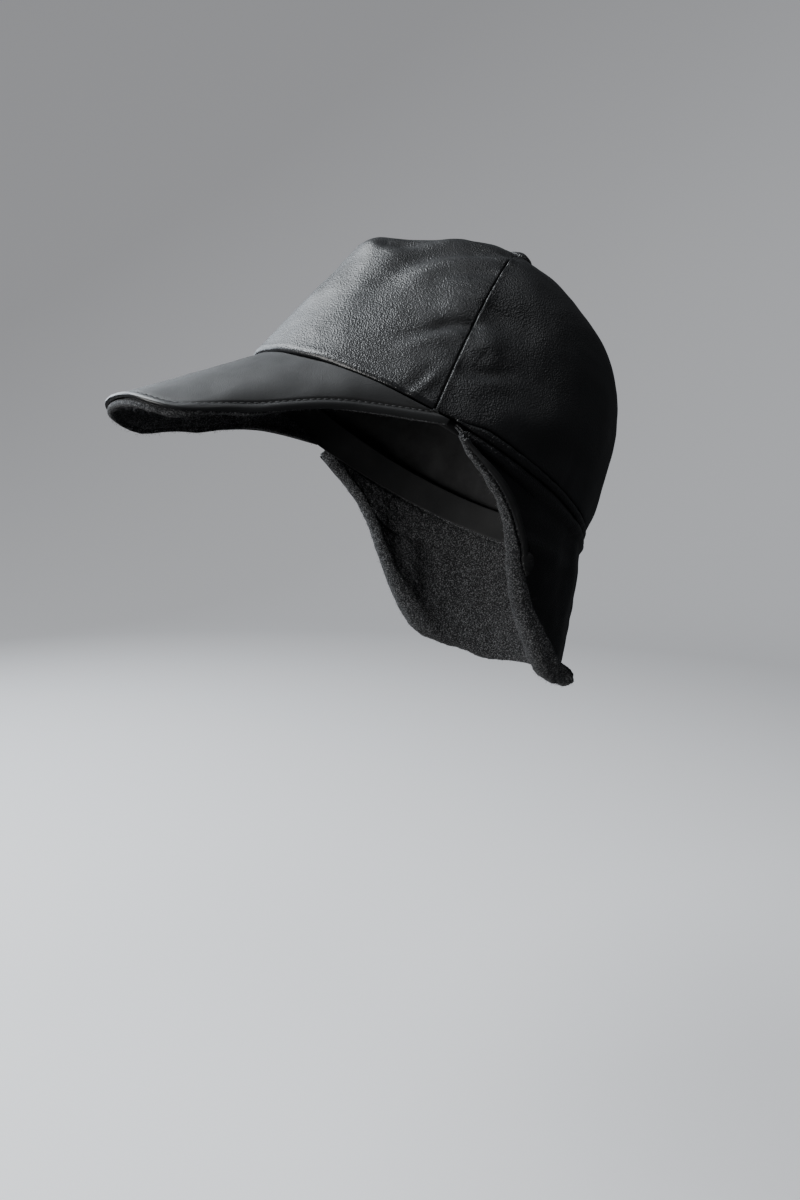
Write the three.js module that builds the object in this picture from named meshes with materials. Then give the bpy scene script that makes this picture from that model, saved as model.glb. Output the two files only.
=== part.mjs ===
// Leather cap with a peak and a wool-lined neck flap, standing as it is worn.
// Millimetres. The origin is the centre of the head opening's rim.
// +X is the wearer's left, -Y the front and +Z up.
import * as THREE from 'three';

// Driving dimensions
const HALF_LENGTH = 103; // rim, from its centre to the front
const HALF_WIDTH = 84; // rim, from its centre to the side
const CROWN_HEIGHT = 127.5; // from the rim's plane to the apex
const TILT = THREE.MathUtils.degToRad(27); // the cap sits tipped back
const LEATHER = 2; // wall of each leather piece
const WOOL = 2; // wall of each felt lining
const BAND = 1; // wall of the band inside the opening
const GAP = 0.3; // clearance between neighbouring pieces

// Crown: the front panel spans both temples, and two rear panels meet behind
const SEAM_ANGLE = 67; // degrees from the front to each side seam
const SEAM_BOW = -1.6; // how far the seam bows at mid height, degrees
const APEX_RADIUS = 4; // hole under the button
const APEX_FULL = 2.2; // corner exponent close to the apex
const FRONT_BOTTOM = -0.6; // lower edge of the front panel, above the rim's plane
const FOOT_SHARE = 1 / 6; // share of the rise over which its edge comes down
const FRONT_PUFF = 0.8; // the front panel's edge is padded
const PUFF_FOOT = -1; // the padding's height above the rim's plane
const PUFF_TOP = 7;
const DIP_REACH = 0.85; // share of the radius that the sunken top takes
const BAG_TOP = 100; // height at which the side fullness ends
const LEAST_REACH = 0.03; // share of the width at which the seams stop narrowing
const PANEL_MARGIN = 0.002; // share of the rise left at a panel's ends

// How full the crown is round its girth: corner exponent, outward bag of
// the side at mid height and sink of the top
const GIRTH = [
  { angle: 0, full: 2.25, bag: -7, dip: 19 },
  { angle: 40, full: 2.0, bag: -11, dip: 8 },
  { angle: 75, full: 2.1, bag: -7.5, dip: 8 },
  { angle: 110, full: 2.2, bag: -2.2, dip: 8 },
  { angle: 145, full: 2.4, bag: -0.2, dip: 8.5 },
  { angle: 180, full: 2.6, bag: -4.5, dip: 6 },
];

// Soft folds of the crown, each from one place to another; depth is inward
const FOLD_CENTRE = new THREE.Vector3(0, 0, 35);
const FOLDS = [
  { angle: 62, rise: 0.62, toAngle: 33, toRise: 0.38, width: 8, depth: 3 },
  { angle: 76, rise: 0.3, toAngle: 104, toRise: 0.28, width: 7, depth: 1.5 },
  { angle: 80, rise: 0.42, toAngle: 84, toRise: 0.52, width: 9, depth: -1.5 },
];

// Button, with its outline as shares of its radius and height
const BUTTON_RADIUS = 8.2;
const BUTTON_HEIGHT = 4.9;
const BUTTON_SEAT = CROWN_HEIGHT - 0.9;
const BUTTON_OUTLINE = [
  { radius: 0, height: 0 },
  { radius: 0.88, height: 0 },
  { radius: 1, height: 0.2 },
  { radius: 0.92, height: 0.55 },
  { radius: 0.6, height: 0.88 },
  { radius: 0, height: 1 },
];

// Rear hem: a rolled edge from temple to temple, thin at its ends
const HEM_RADIUS = 2.2;
const HEM_START = 73; // degrees from the front
const HEM_TAPER = 10; // degrees over which it thickens
const HEM_LEAST = 0.15; // share of its radius at its ends
const HEM_INSET = 1.2; // its middle lies inside the rim

// Band inside the opening: its outer face and foot, measured from the rim
const BAND_TOP = 14;
const BAND_LEAN = 0.05; // how far it leans in for each millimetre of height
const BAND_EDGE = [
  { angle: 0, outward: -2.9, foot: -0.2 },
  { angle: 60, outward: -2.9, foot: -0.2 },
  { angle: 72, outward: -5.6, foot: -0.2 },
  { angle: 90, outward: -5.6, foot: -3.6 },
  { angle: 180, outward: -5.6, foot: -3.6 },
];

// Peak: its outer edge as worn, from the middle (u 0) to the temple (u 1)
const PEAK_END_ANGLE = 71.5;
const PEAK_SAG = 0.4; // the middle of the peak hangs below a straight line
const PEAK_INSET = 0.4; // its root lies inside the rim
const PEAK_TAPER = 0.1; // share of its width over which its ends thin out
const PEAK_LEAST = 0.35; // share of its thickness at its ends
const PEAK_EDGE = [
  { u: 0, x: 0, y: -159.2, z: 19 },
  { u: 0.2, x: 34, y: -155, z: 17.3 },
  { u: 0.4, x: 51, y: -139.5, z: 12 },
  { u: 0.6, x: 54.5, y: -111, z: 12.3 },
  { u: 0.8, x: 62, y: -73, z: 16 },
  { u: 1, x: 79.4, y: -30.4, z: 12.2 },
];

// Neck flap: its fold line from the middle of the back (u 0) round the lower
// corner to the temple (u 1), the radius and angle by which its edge rolls
// outward there, and the flat width past the roll
const FLAP_END_ANGLE = 73.5;
const FLAP_TOP = -1.4; // above the rim's plane
const FLAP_INSET = 3;
const FLAP_BULGE = 0.035; // share of its height by which it swells outward
const FLAP_CROWDING = 0.85; // exponent that crowds the places along its top
const SWELL_FROM = -25; // the flap swells away from a line this far forward
const FLAP_EDGE = [
  { u: 0, x: 0, y: 88, z: -116, radius: 6, turn: 15, flat: 0 },
  { u: 0.2, x: 28, y: 81, z: -116, radius: 6, turn: 25, flat: 0 },
  { u: 0.36, x: 46, y: 66, z: -112.5, radius: 4.6, turn: 70, flat: 1 },
  { u: 0.45, x: 53, y: 56, z: -108, radius: 5.2, turn: 125, flat: 3 },
  { u: 0.54, x: 57, y: 44.8, z: -98.5, radius: 6, turn: 160, flat: 5 },
  { u: 0.63, x: 61, y: 34.3, z: -85, radius: 5.6, turn: 166, flat: 5.5 },
  { u: 0.72, x: 65, y: 23.2, z: -68, radius: 3.8, turn: 160, flat: 3.2 },
  { u: 0.8, x: 69.5, y: 15.3, z: -51, radius: 2.6, turn: 152, flat: 1.2 },
  { u: 0.87, x: 74, y: 10.5, z: -35, radius: 2.6, turn: 148, flat: 0.4 },
  { u: 0.93, x: 77.3, y: 1.2, z: -18.5, radius: 2.6, turn: 144, flat: 0.2 },
  { u: 0.965, x: 79, y: -9.3, z: -6, radius: 2.6, turn: 130, flat: 0.1 },
  { u: 1, x: 80.3, y: -23.5, z: 9.5, radius: 2.45, turn: 85, flat: 0 },
];

// Ovals that the roll turns away from: one at the rim, one round the neck
const RIM_OVAL = { halfWidth: HALF_WIDTH, halfLength: 98, back: 0 };
const NECK_OVAL = { halfWidth: 58, halfLength: 52, back: 40, depth: 117 };

// Leather strip that binds the flap's front edge: over the felt, past its cut
// end, round a corner and down, with a wider tab at its lower end
const STRIP = { top: 0.985, bottom: 0.792, thick: 1.2, clear: 0.45 };
const STRIP_SECTION = { onFelt: 1.8, beyond: 2, corner: 1.2, down: 1.4 };
const TAB = { length: 0.048, onFelt: 1, beyond: 2.8 };

// Cells of the grids
const CELLS = {
  frontAcross: 22,
  rearAcross: 16,
  crownUp: 16,
  peakAcross: 32,
  peakReach: 6,
  flapAlong: 38,
  flapDown: 6,
  flapRoll: 5,
  stripAlong: 16,
  stripAcross: 5,
  hemAlong: 44,
  hemRound: 10,
  band: 40,
  button: 20,
};

const smoothStep = (x) => x * x * (3 - 2 * x);
const clamp = THREE.MathUtils.clamp;
const radians = THREE.MathUtils.degToRad;

// Value of one column at a place between the rows, by a smooth curve
function column(rows, place, key, at) {
  const last = rows.length - 1;
  let i = 0;
  while (i < last - 1 && at > rows[i + 1][place]) i += 1;
  const slope = (k) => {
    const a = rows[Math.max(k - 1, 0)];
    const b = rows[Math.min(k + 1, last)];
    return (b[key] - a[key]) / (b[place] - a[place]);
  };
  const span = rows[i + 1][place] - rows[i][place];
  const t = (at - rows[i][place]) / span;
  const rise = smoothStep(t);
  const lead = span * t * (1 - t);
  return (
    rows[i][key] * (1 - rise) +
    rows[i + 1][key] * rise +
    lead * ((1 - t) * slope(i) - t * slope(i + 1))
  );
}

// The same rows on the wearer's right, then those on the left
function bothSides(rows) {
  const right = rows.slice(1).reverse();
  return [...right.map((row) => ({ ...row, u: -row.u, x: -row.x })), ...rows];
}

// The girth's rows carried past both ends, so that its slopes close smoothly
function allRound(rows) {
  const before = { ...rows[1], angle: -rows[1].angle };
  const after = { ...rows[rows.length - 2], angle: 360 - rows[rows.length - 2].angle };
  return [before, ...rows, after];
}

// Unit normal of a surface by small steps: its first direction crossed with
// its second
const STEP = 1e-3;

function normalOf(surface, a, b) {
  const alongA = surface(a + STEP, b).sub(surface(a - STEP, b));
  const alongB = surface(a, b + STEP).sub(surface(a, b - STEP));
  return alongA.cross(alongB).normalize();
}

// Closed wall over a grid of a surface, between two offsets along its normal,
// which are thinned by the share that is given for each place
function wall(surface, gridA, gridB, low, high, share = () => 1) {
  const countA = gridA.length;
  const countB = gridB.length;
  const positions = [];
  for (const offset of [low, high]) {
    for (const a of gridA) {
      for (const b of gridB) {
        const normal = normalOf(surface, a, b);
        const point = surface(a, b).addScaledVector(normal, offset * share(a, b));
        positions.push(point.x, point.y, point.z);
      }
    }
  }
  const at = (side, i, j) => side * countA * countB + i * countB + j;
  const index = [];
  const quad = (p, q, r, s) => index.push(p, q, r, p, r, s);
  for (let i = 0; i < countA - 1; i += 1) {
    for (let j = 0; j < countB - 1; j += 1) {
      quad(at(1, i, j), at(1, i + 1, j), at(1, i + 1, j + 1), at(1, i, j + 1));
      quad(at(0, i, j), at(0, i, j + 1), at(0, i + 1, j + 1), at(0, i + 1, j));
    }
    const end = countB - 1;
    quad(at(0, i, 0), at(0, i + 1, 0), at(1, i + 1, 0), at(1, i, 0));
    quad(at(1, i, end), at(1, i + 1, end), at(0, i + 1, end), at(0, i, end));
  }
  for (let j = 0; j < countB - 1; j += 1) {
    const end = countA - 1;
    quad(at(1, 0, j), at(1, 0, j + 1), at(0, 0, j + 1), at(0, 0, j));
    quad(at(0, end, j), at(0, end, j + 1), at(1, end, j + 1), at(1, end, j));
  }
  const geometry = new THREE.BufferGeometry();
  geometry.setAttribute('position', new THREE.Float32BufferAttribute(positions, 3));
  geometry.setIndex(index);
  return geometry;
}

// Even steps from one value to another
function steps(from, to, count) {
  return Array.from({ length: count + 1 }, (_, i) => from + ((to - from) * i) / count);
}

// Materials
const nappa = { color: 0x17181a, roughness: 0.45, metalness: 0 };
const smoothLeather = { color: 0x1a1b1d, roughness: 0.55, metalness: 0 };
const felt = { color: 0x3b3d40, roughness: 1, metalness: 0 };

function piece(name, geometry, look) {
  geometry.computeVertexNormals();
  const mesh = new THREE.Mesh(geometry, new THREE.MeshStandardMaterial(look));
  mesh.name = name;
  return mesh;
}

// Crown surface in the cap's own frame: angle from the front, rise from the
// rim (0) to the apex (1)
const girth = allRound(GIRTH);

function plainCrown(angle, rise) {
  const folded = Math.abs(THREE.MathUtils.euclideanModulo(angle + 180, 360) - 180);
  const full = column(girth, 'angle', 'full', folded);
  const bag = column(girth, 'angle', 'bag', folded);
  const dip = column(girth, 'angle', 'dip', folded);
  const lift = (rise * Math.PI) / 2;
  const reach = Math.max(Math.cos(lift), 0) ** (2 / full);
  const sink = dip * Math.sin(Math.PI * clamp(reach / DIP_REACH, 0, 1));
  const height = Math.max(Math.sin(lift), 0) ** (2 / full) * CROWN_HEIGHT - sink;
  const out = bag * Math.sin(Math.PI * clamp(height / BAG_TOP, 0, 1));
  const turn = radians(angle);
  return new THREE.Vector3(
    (HALF_WIDTH * reach + out) * Math.sin(turn),
    -(HALF_LENGTH * reach + out) * Math.cos(turn),
    height,
  );
}

// Each fold as an arc of a great circle seen from the fold centre
const folds = FOLDS.map((fold) => {
  const start = plainCrown(fold.angle, fold.rise).sub(FOLD_CENTRE);
  const radius = start.length();
  start.normalize();
  const end = plainCrown(fold.toAngle, fold.toRise).sub(FOLD_CENTRE).normalize();
  const across = start.clone().cross(end).normalize();
  const along = across.clone().cross(start);
  return { ...fold, radius, start, across, along, length: start.angleTo(end) * radius };
});

function foldDepth(point) {
  const sight = point.clone().sub(FOLD_CENTRE).normalize();
  let depth = 0;
  for (const fold of folds) {
    const aside = Math.asin(clamp(sight.dot(fold.across), -1, 1)) * fold.radius;
    const ahead = Math.atan2(sight.dot(fold.along), sight.dot(fold.start)) * fold.radius;
    const past = Math.max(-ahead, ahead - fold.length, 0);
    depth += fold.depth * Math.exp(-(aside ** 2 + past ** 2) / fold.width ** 2);
  }
  return depth;
}

function crown(angle, rise) {
  const point = plainCrown(angle, rise);
  const sight = point.clone().sub(FOLD_CENTRE).normalize();
  return point.addScaledVector(sight, -foldDepth(point));
}

// Rise at which the crown is a given height above the rim's plane
function riseAt(angle, height) {
  const full = column(girth, 'angle', 'full', Math.abs(angle));
  return (2 / Math.PI) * Math.asin((height / CROWN_HEIGHT) ** (full / 2));
}

const apexShare = (APEX_RADIUS / HALF_WIDTH) ** (APEX_FULL / 2);
const topRise = 1 - (2 / Math.PI) * Math.asin(apexShare);

// A panel between two seams, with its share across and its rise; its lower
// edge stands at a height that is given for each angle
function panel(leftSeam, rightSeam, bottomAt, puff) {
  return (share, rise) => {
    const footAngle = leftSeam(0) + (rightSeam(0) - leftSeam(0)) * share;
    const foot = riseAt(footAngle, bottomAt(footAngle));
    const level = foot + (topRise - foot) * rise;
    const radius = HALF_WIDTH * Math.max(Math.cos((level * Math.PI) / 2), LEAST_REACH);
    const slit = THREE.MathUtils.radToDeg(GAP / 2 / radius);
    const from = leftSeam(level) + slit;
    const to = rightSeam(level) - slit;
    const point = crown(from + (to - from) * share, level);
    const padded = clamp((point.z - PUFF_FOOT) / (PUFF_TOP - PUFF_FOOT), 0, 1);
    const swell = Math.sin(Math.PI * padded);
    const flat = new THREE.Vector3(point.x, point.y, 0).normalize();
    return point.addScaledVector(flat, puff * swell);
  };
}

const sideSeam = (rise) => SEAM_ANGLE + SEAM_BOW * Math.sin(Math.PI * rise);
const backSeam = () => 180;
const frontBottom = () => 0;

function hemRadius(angle) {
  const grown = smoothStep(clamp((Math.abs(angle) - HEM_START) / HEM_TAPER, 0, 1));
  return HEM_RADIUS * (HEM_LEAST + (1 - HEM_LEAST) * grown);
}

const rearBottom = (angle) => 2 * hemRadius(angle) + GAP;
const crownRises = steps(PANEL_MARGIN, 1 - PANEL_MARGIN, CELLS.crownUp);

function frontPanel() {
  const body = panel((rise) => -sideSeam(rise), sideSeam, frontBottom, FRONT_PUFF);
  const surface = (share, rise) => {
    const point = body(share, Math.max(rise, 0));
    point.z += FRONT_BOTTOM * (1 - clamp(rise / FOOT_SHARE, 0, 1));
    return point;
  };
  return wall(surface, steps(0, 1, CELLS.frontAcross), crownRises, -LEATHER, 0);
}

function leftRearPanel() {
  const surface = panel(sideSeam, backSeam, rearBottom, 0);
  return wall(surface, steps(0, 1, CELLS.rearAcross), crownRises, -LEATHER, 0);
}

function rightRearPanel() {
  const surface = panel(() => -backSeam(), (rise) => -sideSeam(rise), rearBottom, 0);
  return wall(surface, steps(0, 1, CELLS.rearAcross), crownRises, -LEATHER, 0);
}

// Button: a covered dome
function crownButton() {
  const outline = BUTTON_OUTLINE.map(
    ({ radius, height }) => new THREE.Vector2(radius * BUTTON_RADIUS, height * BUTTON_HEIGHT),
  );
  const geometry = new THREE.LatheGeometry(outline, CELLS.button);
  geometry.rotateX(Math.PI / 2);
  geometry.translate(0, 0, BUTTON_SEAT);
  return geometry;
}

// Rim of the head opening in the cap's frame, moved outward and up
function rim(angle, outward, up) {
  const turn = radians(angle);
  return new THREE.Vector3(
    (HALF_WIDTH + outward) * Math.sin(turn),
    -(HALF_LENGTH + outward) * Math.cos(turn),
    up,
  );
}

// Rear hem: a rolled edge under the rear panels, as rings round its middle line
function rearHem() {
  const positions = [];
  for (const angle of steps(HEM_START, 360 - HEM_START, CELLS.hemAlong)) {
    const radius = hemRadius(Math.min(angle, 360 - angle));
    for (let k = 0; k < CELLS.hemRound; k += 1) {
      const turn = (2 * Math.PI * k) / CELLS.hemRound;
      const outward = HEM_RADIUS - HEM_INSET - radius + radius * Math.cos(turn);
      positions.push(...rim(angle, outward, radius + radius * Math.sin(turn)));
    }
  }
  const ring = (i, k) => i * CELLS.hemRound + (k % CELLS.hemRound);
  const index = [];
  for (let i = 0; i < CELLS.hemAlong; i += 1) {
    for (let k = 0; k < CELLS.hemRound; k += 1) {
      index.push(ring(i, k), ring(i + 1, k), ring(i + 1, k + 1));
      index.push(ring(i, k), ring(i + 1, k + 1), ring(i, k + 1));
    }
  }
  for (let k = 1; k < CELLS.hemRound - 1; k += 1) {
    index.push(ring(0, 0), ring(0, k), ring(0, k + 1));
    const end = CELLS.hemAlong;
    index.push(ring(end, 0), ring(end, k + 1), ring(end, k));
  }
  const geometry = new THREE.BufferGeometry();
  geometry.setAttribute('position', new THREE.Float32BufferAttribute(positions, 3));
  geometry.setIndex(index);
  return geometry;
}

// Band inside the opening, from its foot up; its ends meet behind
function innerBand() {
  const surface = (angle, share) => {
    const side = Math.abs(angle);
    const outward = column(BAND_EDGE, 'angle', 'outward', side);
    const foot = column(BAND_EDGE, 'angle', 'foot', side);
    const height = foot + (BAND_TOP - foot) * share;
    const up = Math.max(height, 0);
    const bag = Math.min(column(girth, 'angle', 'bag', side), 0);
    const lean = bag * Math.sin((Math.PI * up) / BAG_TOP) - BAND_LEAN * up;
    return rim(angle, outward + lean, height);
  };
  const end = 180 - THREE.MathUtils.radToDeg(GAP / 2 / HALF_LENGTH);
  return wall(surface, steps(-end, end, CELLS.band), [0, 1], -BAND, 0);
}

// A point of the tipped cap in the frame of the standing head
function worn(point) {
  return point.applyAxisAngle(new THREE.Vector3(1, 0, 0), -TILT);
}

// Peak: from the rim to its outer edge; its normal points down
const peakEdge = bothSides(PEAK_EDGE);

function peak(u, reach) {
  const root = worn(rim(PEAK_END_ANGLE * u, -PEAK_INSET, FRONT_BOTTOM - GAP));
  const edge = new THREE.Vector3(
    column(peakEdge, 'u', 'x', u),
    column(peakEdge, 'u', 'y', u),
    column(peakEdge, 'u', 'z', u),
  );
  const point = root.lerp(edge, reach);
  point.z -= PEAK_SAG * Math.sin(Math.PI * reach) * Math.cos((u * Math.PI) / 2);
  return point;
}

const peakAcross = steps(-1, 1, CELLS.peakAcross);
const peakReach = steps(0, 1, CELLS.peakReach);

function peakShare(u) {
  const grown = smoothStep(clamp((1 - Math.abs(u)) / PEAK_TAPER, 0, 1));
  return PEAK_LEAST + (1 - PEAK_LEAST) * grown;
}

function peakUpper() {
  return wall(peak, peakAcross, peakReach, 0, LEATHER, peakShare);
}

function peakLining() {
  const low = LEATHER + GAP;
  return wall(peak, peakAcross, peakReach, low, low + WOOL, peakShare);
}

// Neck flap: down from the hem to its fold line, then the rolled edge.
// The place along is u, and the place down is 0 to 1 on the flap and 1 to 2
// round the roll.
const flapEdge = bothSides(FLAP_EDGE);

function foldLine(u) {
  return new THREE.Vector3(
    column(flapEdge, 'u', 'x', u),
    column(flapEdge, 'u', 'y', u),
    column(flapEdge, 'u', 'z', u),
  );
}

function flapBody(u, down) {
  const spread = (180 - FLAP_END_ANGLE) * Math.abs(u) ** FLAP_CROWDING;
  const side = u < 0 ? -1 : 1;
  const top = worn(rim(side * (180 - spread), -FLAP_INSET, FLAP_TOP));
  const bottom = foldLine(u);
  const middle = top.clone().add(bottom).multiplyScalar(0.5);
  const outward = new THREE.Vector3(middle.x, middle.y + SWELL_FROM, 0).normalize();
  const bulge = FLAP_BULGE * top.distanceTo(bottom) * Math.sin(Math.PI * down);
  return top.lerp(bottom, down).addScaledVector(outward, bulge);
}

// Length of the roll's curved part, its turn and the flat width past it
function rollSize(u) {
  const radius = column(flapEdge, 'u', 'radius', u);
  const turn = radians(column(flapEdge, 'u', 'turn', u));
  const flat = Math.max(column(flapEdge, 'u', 'flat', u), 0);
  return { radius, turn, flat, whole: radius * turn + flat };
}

function flap(u, down) {
  const point = flapBody(u, clamp(down, 0, 1));
  if (down <= 1) return point;
  const along = foldLine(u + STEP).sub(foldLine(u - STEP)).normalize();
  const line = foldLine(u);
  const low = clamp(-line.z / NECK_OVAL.depth, 0, 1);
  const between = (key) => RIM_OVAL[key] + (NECK_OVAL[key] - RIM_OVAL[key]) * low;
  const out = new THREE.Vector3(
    line.x / between('halfWidth') ** 2,
    (line.y - between('back')) / between('halfLength') ** 2,
    0,
  ).normalize();
  out.addScaledVector(along, -out.dot(along)).normalize();
  const away = out.clone().cross(along).normalize();
  const { radius, turn, flat, whole } = rollSize(u);
  const length = (down - 1) * whole;
  const bend = Math.min(length / radius, turn);
  const rest = Math.max(length - radius * turn, 0);
  point.addScaledVector(away, radius * Math.sin(bend) + rest * Math.cos(turn));
  point.addScaledVector(out, radius * (1 - Math.cos(bend)) + rest * Math.sin(turn));
  return point;
}

const flapAlong = steps(-1, 1, CELLS.flapAlong);
const rollStart = 1 + 1 / (CELLS.flapRoll + 1);
const flapDown = [...steps(0, 1, CELLS.flapDown), ...steps(rollStart, 2, CELLS.flapRoll)];

function flapLeather() {
  return wall(flap, flapAlong, flapDown, GAP / 2, GAP / 2 + LEATHER);
}

function flapLining() {
  return wall(flap, flapAlong, flapDown, -GAP / 2 - WOOL, -GAP / 2);
}

// Place on the binding's cross-section, ahead of the felt's cut end and over
// the flap's middle surface
function bindingSection(share, onFelt, beyond) {
  const { corner, down } = STRIP_SECTION;
  const straight = onFelt + beyond - corner;
  const arc = (corner * Math.PI) / 2;
  const length = share * (straight + arc + down);
  const bend = clamp((length - straight) / corner, 0, Math.PI / 2);
  const drop = Math.max(length - straight - arc, 0);
  const top = GAP / 2 + WOOL + STRIP.clear + STRIP.thick / 2;
  return {
    ahead: Math.min(length, straight) - onFelt + corner * Math.sin(bend),
    over: top - corner * (1 - Math.cos(bend)) - drop,
  };
}

// Binding strip over the cut end of the rolled edge
function edgeStrip(side) {
  const surface = (share, across) => {
    const u = STRIP.bottom + (STRIP.top - STRIP.bottom) * share;
    const inTab = clamp((STRIP.bottom + TAB.length - u) / TAB.length, 0, 1);
    const lobe = Math.sqrt(Math.sin(Math.PI * inTab));
    const onFelt = STRIP_SECTION.onFelt + TAB.onFelt * lobe;
    const beyond = STRIP_SECTION.beyond + TAB.beyond * lobe;
    const { ahead, over } = bindingSection(across, onFelt, beyond);
    const { radius, whole } = rollSize(u);
    const onMiddle = (Math.min(ahead, 0) * radius) / (radius + WOOL + STRIP.clear);
    const down = 2 + onMiddle / whole;
    const onward = flap(side * u, down).sub(flap(side * u, down - STEP)).normalize();
    const point = flap(side * u, down);
    point.addScaledVector(normalOf(flap, side * u, down), -over);
    return point.addScaledVector(onward, Math.max(ahead, 0));
  };
  const along = steps(0, 1, CELLS.stripAlong);
  const across = steps(0, 1, CELLS.stripAcross);
  return wall(surface, along, across, -STRIP.thick / 2, STRIP.thick / 2);
}

// The cap's own pieces stand in a group that is tipped back
const crownGroup = new THREE.Group();
crownGroup.rotation.x = -TILT;
crownGroup.add(
  piece('front_panel', frontPanel(), nappa),
  piece('left_rear_panel', leftRearPanel(), nappa),
  piece('right_rear_panel', rightRearPanel(), nappa),
  piece('crown_button', crownButton(), nappa),
  piece('rear_hem', rearHem(), nappa),
  piece('inner_band', innerBand(), smoothLeather),
);

const hat = new THREE.Group();
hat.add(
  crownGroup,
  piece('peak_upper', peakUpper(), smoothLeather),
  piece('peak_lining', peakLining(), felt),
  piece('flap_leather', flapLeather(), nappa),
  piece('flap_lining', flapLining(), felt),
  piece('left_edge_strip', edgeStrip(1), smoothLeather),
  piece('right_edge_strip', edgeStrip(-1), smoothLeather),
);

export default hat;
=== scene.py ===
"""Leather cap with a peak and a felt-lined neck flap, on a pale studio floor.

Lengths are millimetres in the shape functions and metres in Blender. The cap
stands as it is worn: +X is the wearer's left, -Y the front and +Z up.
"""

import math

import bpy
import numpy as np
from mathutils import Matrix, Vector


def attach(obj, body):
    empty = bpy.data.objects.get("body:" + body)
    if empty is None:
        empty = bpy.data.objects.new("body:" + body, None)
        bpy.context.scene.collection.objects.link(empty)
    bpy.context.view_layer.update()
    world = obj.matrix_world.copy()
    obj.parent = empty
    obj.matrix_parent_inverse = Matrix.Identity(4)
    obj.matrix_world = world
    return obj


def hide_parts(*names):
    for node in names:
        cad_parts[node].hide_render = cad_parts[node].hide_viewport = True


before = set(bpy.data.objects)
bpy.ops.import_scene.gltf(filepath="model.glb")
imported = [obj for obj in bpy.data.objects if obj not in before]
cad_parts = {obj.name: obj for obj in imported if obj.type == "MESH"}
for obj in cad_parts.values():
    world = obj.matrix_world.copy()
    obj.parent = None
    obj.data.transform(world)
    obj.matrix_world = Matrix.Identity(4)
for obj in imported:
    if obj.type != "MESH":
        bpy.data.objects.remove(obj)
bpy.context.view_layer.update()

MM = 0.001
FLOOR_LEVEL = -420.0
LEVEL = np.array([1.0, 1.0, 0.0])

# Sizes shared with the solids
HALF_LENGTH = 103.0
HALF_WIDTH = 84.0
CROWN_HEIGHT = 127.5
TILT = math.radians(27)
LEATHER = 2.0
GAP = 0.3
SEAM_ANGLE = 67.0
SEAM_BOW = -1.6
APEX_RADIUS = 4.0
FRONT_BOTTOM = -0.6
FRONT_PUFF = 0.45
PUFF_HEIGHT = 7.0
PUFF_FOOT = 1.0
DIP_REACH = 0.85
BAG_TOP = 100.0
HEM_RADIUS = 2.2
HEM_START = 73.0
HEM_INSET = 1.2
BUTTON_RADIUS = 8.2
BUTTON_HEIGHT = 6.0
BUTTON_SEAT = CROWN_HEIGHT - 2.0
PEAK_END_ANGLE = 71.5
PEAK_SAG = 0.4
FLAP_END_ANGLE = 73.5
FLAP_TOP = -0.8
FLAP_INSET = 3.0
FLAP_BULGE = 0.025

# Crown from the front to the back: how full it is, how far it bags and how far its top dips
GIRTH = {
    "angle": (0, 40, 75, 110, 145, 180),
    "full": (2.25, 2.0, 2.1, 2.2, 2.4, 2.6),
    "bag": (-7, -11, -7.5, -2.2, -0.2, -4.5),
    "dip": (19, 8, 8, 8, 8.5, 6),
}

# Outer edge of the peak, from the middle to the temple
PEAK_EDGE = {
    "u": (0, 0.2, 0.4, 0.6, 0.8, 1),
    "x": (0, 34, 51, 54.5, 62, 79.4),
    "y": (-159.2, -155, -139.5, -111, -73, -30.4),
    "z": (19, 17.3, 12, 12.3, 16, 12.2),
}

# Flap's fold line from the back to the temple, with its roll's radius, turn, flat width and crest
FLAP_EDGE = {
    "u": (0, 0.2, 0.36, 0.45, 0.54, 0.63, 0.72, 0.8, 0.87, 0.93, 0.965, 1),
    "x": (0, 27.5, 45.6, 52.6, 57, 61, 65, 69.5, 74, 77.3, 79, 80.3),
    "y": (86, 78.5, 63.5, 54, 43.5, 34.3, 23.2, 15.3, 10.5, 2.2, -8.0, -23.5),
    "z": (-116, -115, -110.2, -105.8, -97.8, -85, -68, -51, -35, -18.5, -6, 9.5),
    "radius": (6, 5.4, 3.4, 4.4, 5.8, 5.6, 3.8, 2.6, 2.6, 2.6, 2.6, 2.4),
    "turn": (15, 30, 92, 116, 148, 166, 172, 178, 168, 160, 154, 125),
    "flat": (0, 1.5, 7, 9.5, 7.5, 5.5, 3.4, 1.9, 0.5, 0.1, 0.1, 0.2),
    "crest": (0, 0, 0.3, 0.8, 1, 1, 0.7, 0.2, 0, 0, 0, 0),
}

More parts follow.
